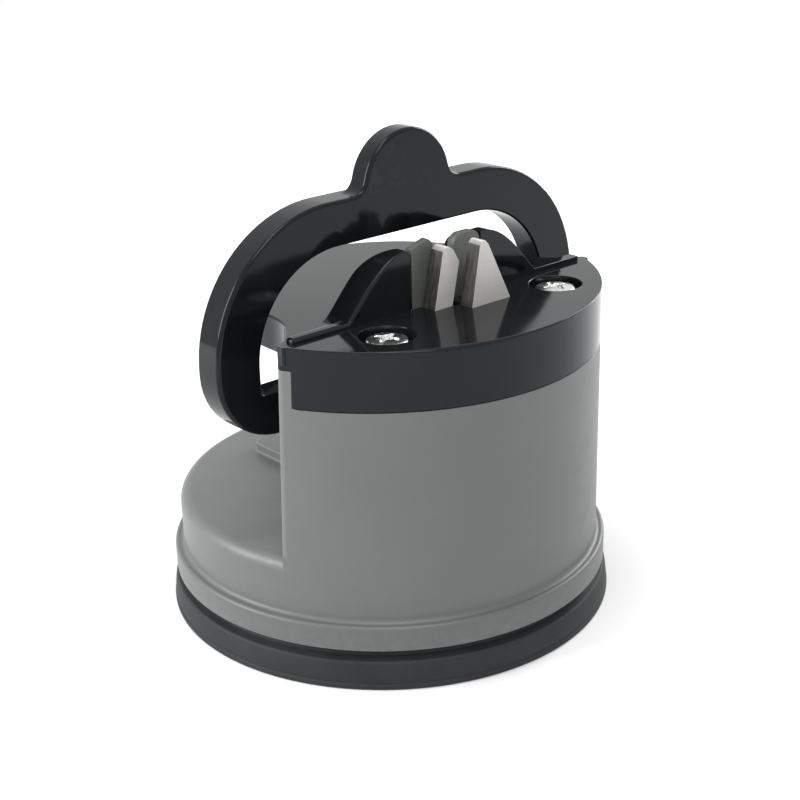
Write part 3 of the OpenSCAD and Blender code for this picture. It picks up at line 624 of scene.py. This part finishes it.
# Cap: one glossy black ABS moulding that closes the column, with a skirt flush with the front wall, a rail,
# two rounded finger guards and the round tongue that reaches back through the ring. Outer edges are softly rounded.
CAP_TOP = 44.75
POCKET_X, POCKET_Y, PLATES_X, PLATES_Y = 6.3, -10.9, 8.0, -11.0
RAIL_FRONT, RAIL_BACK, RAIL_END_X, RAIL_END_LOW = -12.9, -11.2, 26.3, 43.5
SKIRT_R, SKIRT_Y = 28.5, -12.0
SCREW_X, SCREW_Y, RECESS_R = 14.8, -17.8, 3.9
TONGUE_R, TONGUE_UNDER_R, TONGUE_ROOT_Y, TONGUE_LOW = 18.0, 19.0, -8.5, 40.2
POCKET_ROUND, GUARD_ROUND, RAIL_END_ROUND, SKIRT_ROUND, RECESS_ROUND = 0.12, 0.45, 0.2, 0.5, 0.14
TONGUE_ROOT_ROUND, TONGUE_ROUND, TONGUE_UNDER_ROUND, TOP_ROUND = 0.18, 0.3, 0.35, 0.25


def cap_edge(p, hollow):
    """Width of the cap's rounding at a place, 0 in hollow corners and inside the cap."""
    r = math.hypot(p.x, p.y)
    if p.z > CAP_TOP + NEAR:
        if abs(p.x) < POCKET_X and p.y < POCKET_Y:
            return POCKET_ROUND
        return 0.0 if hollow else GUARD_ROUND
    if abs(p.x) > RAIL_END_X and RAIL_FRONT < p.y < RAIL_BACK and p.z > RAIL_END_LOW:
        return 0.0 if hollow else RAIL_END_ROUND
    if p.z > CAP_TOP - 0.1:
        if hollow:
            return 0.0
        if p.y < SKIRT_Y and r > SKIRT_R:
            return SKIRT_ROUND
        if math.hypot(abs(p.x) - SCREW_X, p.y - SCREW_Y) < RECESS_R:
            return RECESS_ROUND
        if p.y > RAIL_FRONT and r > TONGUE_R:
            return TONGUE_ROOT_ROUND if p.y < TONGUE_ROOT_Y else TONGUE_ROUND
        return 0.0 if p.y < PLATES_Y and abs(p.x) < PLATES_X else TOP_ROUND
    if p.z < SEAM_Z + 0.3 and r > SKIRT_R:
        return SEAM_ROUND
    if p.z < TONGUE_LOW and p.y > PLATES_Y and r > TONGUE_UNDER_R:
        return TONGUE_UNDER_ROUND
    return 0.0


cap = sized_edges("top_cap", "top_cap_moulding", cap_edge, segments=4)
cap_black = gloss_black("glossy black cap ABS", level=0.006, rough=0.06, wave=0.08, shine=0.24)
stand_for(dress(cap, cap_black), "housing", "black_cap", "top_cap")

# Cap screws: two plated pan heads with a cross recess, sunk just under the cap's top and run into the shell's bosses.
# The domed head is shaped on a fine grid, so that the recess has sloping sides and soft lips.
HEAD_R, HEAD_LOW, HEAD_HIGH = 2.9, 43.3, 44.5
DOME_DROP, RIM_DROP, RIM_WIDTH = 0.32, 0.5, 0.55
CROSS_ARM, CROSS_HALF, CROSS_DEEP = 1.75, 0.36, 0.85
CROSS_SIDE, CROSS_END, CROSS_MIDDLE, MIDDLE_SLOPE = 0.16, 0.55, 0.95, 0.4
ARM_ROOT, ARM_TAPER, PIT_RISE = 1.25, 0.45, 0.35
LEFT_TURN, RIGHT_TURN = 22, -12
HEAD_RINGS, HEAD_AROUND = 44, 120
SHANK = [(HEAD_R, HEAD_LOW + 0.1), (HEAD_R - 0.1, HEAD_LOW), (1.25, HEAD_LOW), (1.18, HEAD_LOW - 0.1), (1.18, 30.4),
         (0.8, 29.85)]


def head_height(x, y, turn):
    """Height of a pan head's top at a point from its axis, in millimetres."""
    r = math.hypot(x, y)
    rim = max(0.0, (r - HEAD_R + RIM_WIDTH) / RIM_WIDTH)
    dome = HEAD_HIGH - DOME_DROP * (r / HEAD_R) ** 2 - RIM_DROP * rim ** 2
    c, s = math.cos(turn), math.sin(turn)
    u, v = abs(x * c + y * s), abs(-x * s + y * c)
    off_arm, reach = min(u, v), max(u, v)
    half = CROSS_HALF * (ARM_ROOT - ARM_TAPER * reach / CROSS_ARM)
    side = max(0.0, min(1.0, (half - off_arm) / CROSS_SIDE))
    end = max(0.0, min(1.0, (CROSS_ARM - reach) / CROSS_END))
    middle = max(0.0, min(1.0, (CROSS_MIDDLE - r) / MIDDLE_SLOPE))
    pit = max(side * end, middle)
    return dome - CROSS_DEEP * pit * pit * (3 - 2 * pit) * (1 - PIT_RISE * r / HEAD_R)


def screw_mesh(bm, x0, y0, turn):
    """A pan head and its shank, one closed skin."""
    def ring(r, height_at):
        return [bm.verts.new(((x0 + r * c) * MM, (y0 + r * s) * MM, height_at(r * c, r * s) * MM))
                for c, s in circle(HEAD_AROUND)]

    top = bm.verts.new((x0 * MM, y0 * MM, head_height(0, 0, turn) * MM))
    rings = [ring(HEAD_R * k / HEAD_RINGS, lambda x, y: head_height(x, y, turn)) for k in range(1, HEAD_RINGS + 1)]
    rings += [ring(r, lambda x, y: z) for r, z in SHANK]
    for k in range(HEAD_AROUND):
        bm.faces.new((top, rings[0][k], rings[0][(k + 1) % HEAD_AROUND]))
    for low, high in zip(rings, rings[1:]):
        for k in range(HEAD_AROUND):
            j = (k + 1) % HEAD_AROUND
            bm.faces.new((low[k], high[k], high[j], low[j]))
    bm.faces.new(rings[-1])


bm = bmesh.new()
screw_mesh(bm, -SCREW_X, SCREW_Y, math.radians(LEFT_TURN))
screw_mesh(bm, SCREW_X, SCREW_Y, math.radians(RIGHT_TURN))
screws = new_object("cap_screws_plated", bm)
plated, spot, settle = finish_of("bright plated steel")
swirl = spot.noise(2600, 4, 0.6)
grime = spot.noise(1500, 3).ramp((0.56, 0.0), (0.7, 1.0))
settle(Base_Color=(grime * 0.6).blend((0.72, 0.72, 0.71, 1), (0.30, 0.30, 0.29, 1)), Metallic=1.0,
       Roughness=swirl * 0.14 + 0.14 + grime * 0.2, Normal=swirl.bump(0.12, 0.00003))
stand_for(dress(sharp_by_angle(screws, 50), plated), "housing", "bright_screw", "cap_screws")

# Floor: a plain sweep of white paper under the sharpener. It shows as white to the camera and in the gloss, more
# so with every step from the middle, and still takes the soft shadow under the cup.
FLOOR_HALF = 0.36
FLOOR_GLOW = 0.62


def plainly_seen(tone):
    """1 for what the camera sees, straight or by way of gloss or glass; 0 for the light that falls on the object."""
    camera, gloss, glass = (tone.node("ShaderNodeLightPath", {}, out=kind)
                            for kind in ("Is Camera Ray", "Is Glossy Ray", "Is Transmission Ray"))
    return (camera + gloss + glass).clamped()


bm = bmesh.new()
bmesh.ops.create_grid(bm, x_segments=8, y_segments=8, size=FLOOR_HALF)
floor = new_object("studio_floor", bm)
paper, spot, settle = finish_of("white paper sweep")
settle(Base_Color=spot.noise(40, 2).blend((0.80, 0.80, 0.80, 1), (0.83, 0.83, 0.83, 1)), Roughness=0.9,
       Specular_IOR_Level=0.1)
nodes = paper.node_tree.nodes
plain = Tone(spot.tree, nodes["Principled BSDF"].outputs["BSDF"])
glowing = spot.node("ShaderNodeAddShader", {}, plain, spot.node("ShaderNodeEmission", {}, (1, 1, 1, 1), FLOOR_GLOW))
from_middle = spot.node("ShaderNodeVectorMath", {"operation": "LENGTH"}, spot, out="Value")
away = from_middle.ramp((0.03, 0.3), (0.2, 1.0))
mixed = spot.node("ShaderNodeMixShader", {}, plainly_seen(spot) * away, plain, glowing)
spot.tree.links.new(mixed.socket, nodes["Material Output"].inputs["Surface"])
dress(floor, paper)

# Sky and lamps: an even white sky that is a little dimmer for the light it throws than for the eye, and four large
# soft boxes, from the front, from both sides and from above. All of them face the sharpener's middle.
SKY_LIGHT = 0.55
AIM = Vector((0, 0, 0.03))
scene = bpy.context.scene
scene.view_settings.view_transform = "Standard"
world = bpy.data.worlds.new("studio sky")
scene.world = world
world.use_nodes = True
background = world.node_tree.nodes["Background"]
sky = Tone(world.node_tree, background.outputs["Background"])
background.inputs["Color"].default_value = (1, 1, 1, 1)
sky.tree.links.new((SKY_LIGHT + plainly_seen(sky) * (1 - SKY_LIGHT)).socket, background.inputs["Strength"])
for name, place, size, watts in (("front soft box", (-0.14, -0.30, 0.50), (0.20, 0.12), 0.65),
                                 ("left soft box", (-0.42, 0.22, 0.22), (0.28, 0.30), 2.3),
                                 ("right soft box", (0.46, 0.04, 0.22), (0.14, 0.30), 1.2),
                                 ("top soft box", (-0.06, -0.04, 0.55), (0.16, 0.16), 0.6)):
    lamp = bpy.data.lights.new(name, "AREA")
    lamp.shape = "RECTANGLE"
    lamp.size, lamp.size_y = size
    lamp.energy = watts
    ob = bpy.data.objects.new(name, lamp)
    scene.collection.objects.link(ob)
    ob.location = place
    ob.rotation_mode = "QUATERNION"
    ob.rotation_quaternion = (AIM - Vector(place)).to_track_quat("-Z", "Y")

# Camera: stands where the photograph was taken from, fitted to the outlines of the cup, shell, cap and ring.
# FOCUS is its focal length in the photograph's pixels, and the small shift frames the sharpener as there.
AZIMUTH, PITCH, ROLL = (math.radians(v) for v in (-41.02, 21.57, -1.43))
DISTANCE, FOCUS, TARGET = 0.20715, 1476.1, Vector((0.00244, 0, 0.02622))
PHOTO_WIDTH, SENSOR = 800, 36
back = Vector((math.sin(AZIMUTH) * math.cos(PITCH), -math.cos(AZIMUTH) * math.cos(PITCH), math.sin(PITCH)))
right = Vector((math.cos(AZIMUTH), math.sin(AZIMUTH), 0))
up = back.cross(right)
turned_axes = Matrix((right * math.cos(ROLL) + up * math.sin(ROLL), up * math.cos(ROLL) - right * math.sin(ROLL), back))
lens = bpy.data.cameras.new("photograph camera")
camera = bpy.data.objects.new("photograph camera", lens)
scene.collection.objects.link(camera)
camera.matrix_world = Matrix.Translation(TARGET + back * DISTANCE) @ turned_axes.transposed().to_4x4()
lens.sensor_width = SENSOR
lens.lens = FOCUS / PHOTO_WIDTH * SENSOR
lens.shift_x, lens.shift_y = 0.00056, 0.00295
lens.clip_start, lens.clip_end = 0.005, 10
bpy.context.scene.camera = camera
